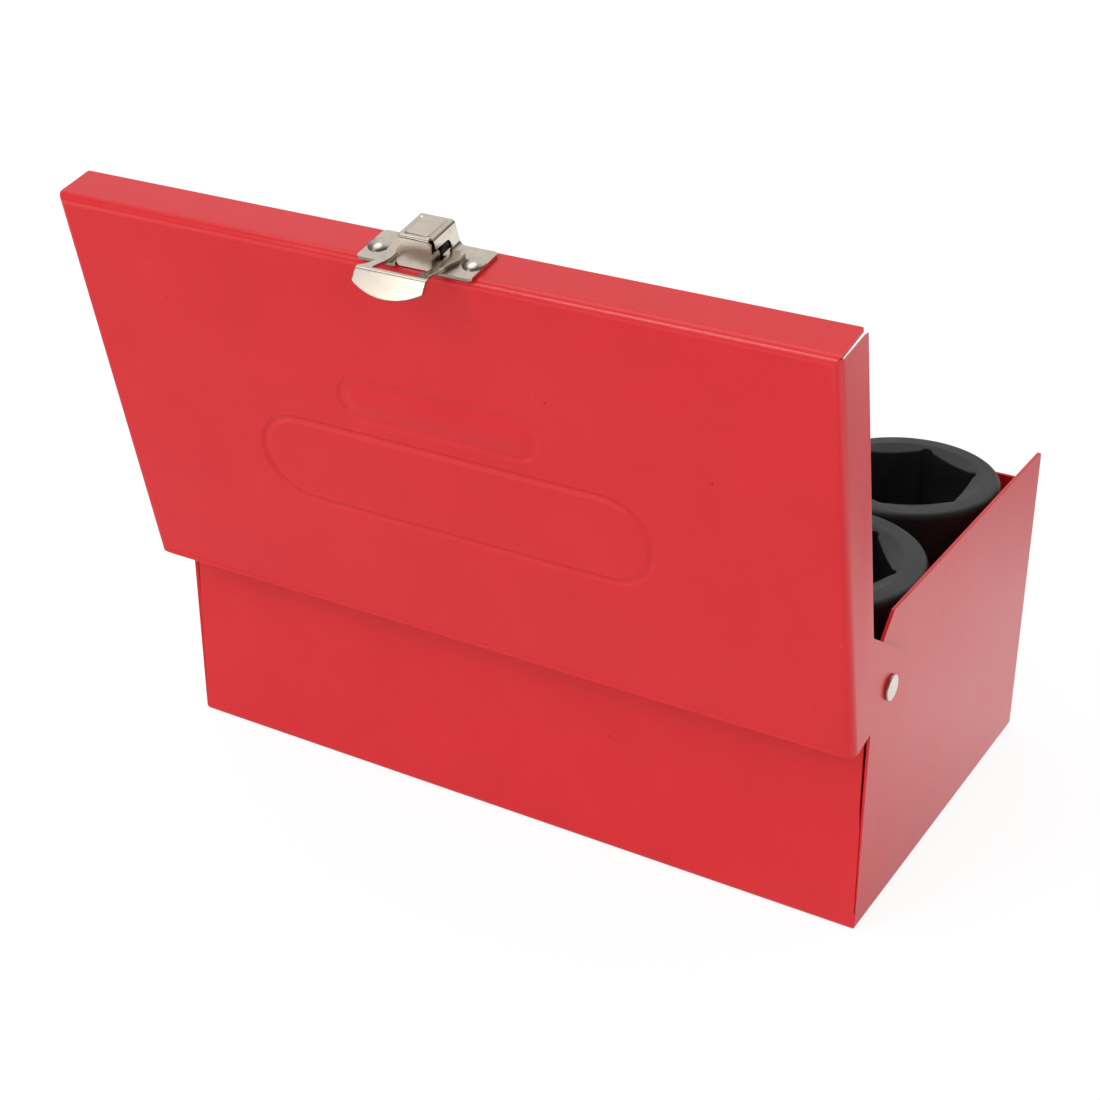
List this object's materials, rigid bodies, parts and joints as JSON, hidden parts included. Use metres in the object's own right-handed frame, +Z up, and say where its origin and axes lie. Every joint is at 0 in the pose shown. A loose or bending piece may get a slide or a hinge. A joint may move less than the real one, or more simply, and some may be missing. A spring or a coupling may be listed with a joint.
{
  "type": "socket set in case",
  "caption": "Sheet-steel case with a riveted hinged lid and a sprung snap latch, holding deep impact sockets that stand in rows and lift out.",
  "frame": {"origin": "middle of the flat bottom of the case", "axes": "+X along the case, -Y towards the latch side, +Z up"},
  "size_m": [0.2328, 0.1829, 0.1958],
  "materials": {
    "case_paint": "semi-gloss red enamel",
    "nickel_plate": "bright nickel plate",
    "black_steel": "black phosphate, satin",
    "spring_steel": "blued spring steel"
  },
  "bodies": {
    "case": {"base_tray": "case_paint", "hinge_rivet_left": "nickel_plate", "hinge_rivet_right": "nickel_plate", "catch_plate": "case_paint", "catch_rivet_left": "nickel_plate", "catch_rivet_right": "nickel_plate"},
    "lid": {"lid_shell": "case_paint", "latch_housing": "nickel_plate", "latch_rivet_left": "nickel_plate", "latch_rivet_right": "nickel_plate", "latch_spring": "spring_steel"},
    "lever": {"latch_lever": "nickel_plate"},
    "socket_42": {"socket_42": "black_steel"},
    "socket_38": {"socket_38": "black_steel"},
    "socket_30": {"socket_30": "black_steel"},
    "socket_27": {"socket_27": "black_steel"},
    "socket_35": {"socket_35": "black_steel"},
    "socket_36": {"socket_36": "black_steel"},
    "socket_33": {"socket_33": "black_steel"},
    "socket_32": {"socket_32": "black_steel"}
  },
  "joints": [
    {"name": "lid_hinge", "type": "hinge", "parent": "case", "child": "lid", "pos_m": [0, 0.0543, 0.0755], "axis": [-1, 0, 0], "range_deg": [-103, 41]},
    {"name": "lever_rock", "type": "hinge", "parent": "lid", "child": "lever", "pos_m": [-0.0018, 0.10387, 0.18619], "axis": [-1, 0, 0], "range_deg": [0, 15], "stiffness_Nm_per_rad": 0.2, "springref_deg": -14.32, "deforming": ["latch_spring"]},
    {"name": "socket_42_lift", "type": "slide", "parent": "case", "child": "socket_42", "axis": [0, 0, 1], "range_m": [0, 0.1]},
    {"name": "socket_38_lift", "type": "slide", "parent": "case", "child": "socket_38", "axis": [0, 0, 1], "range_m": [0, 0.1]},
    {"name": "socket_30_lift", "type": "slide", "parent": "case", "child": "socket_30", "axis": [0, 0, 1], "range_m": [0, 0.1]},
    {"name": "socket_27_lift", "type": "slide", "parent": "case", "child": "socket_27", "axis": [0, 0, 1], "range_m": [0, 0.1]},
    {"name": "socket_35_lift", "type": "slide", "parent": "case", "child": "socket_35", "axis": [0, 0, 1], "range_m": [0, 0.1]},
    {"name": "socket_36_lift", "type": "slide", "parent": "case", "child": "socket_36", "axis": [0, 0, 1], "range_m": [0, 0.1]},
    {"name": "socket_33_lift", "type": "slide", "parent": "case", "child": "socket_33", "axis": [0, 0, 1], "range_m": [0, 0.1]},
    {"name": "socket_32_lift", "type": "slide", "parent": "case", "child": "socket_32", "axis": [0, 0, 1], "range_m": [0, 0.1]}
  ]
}
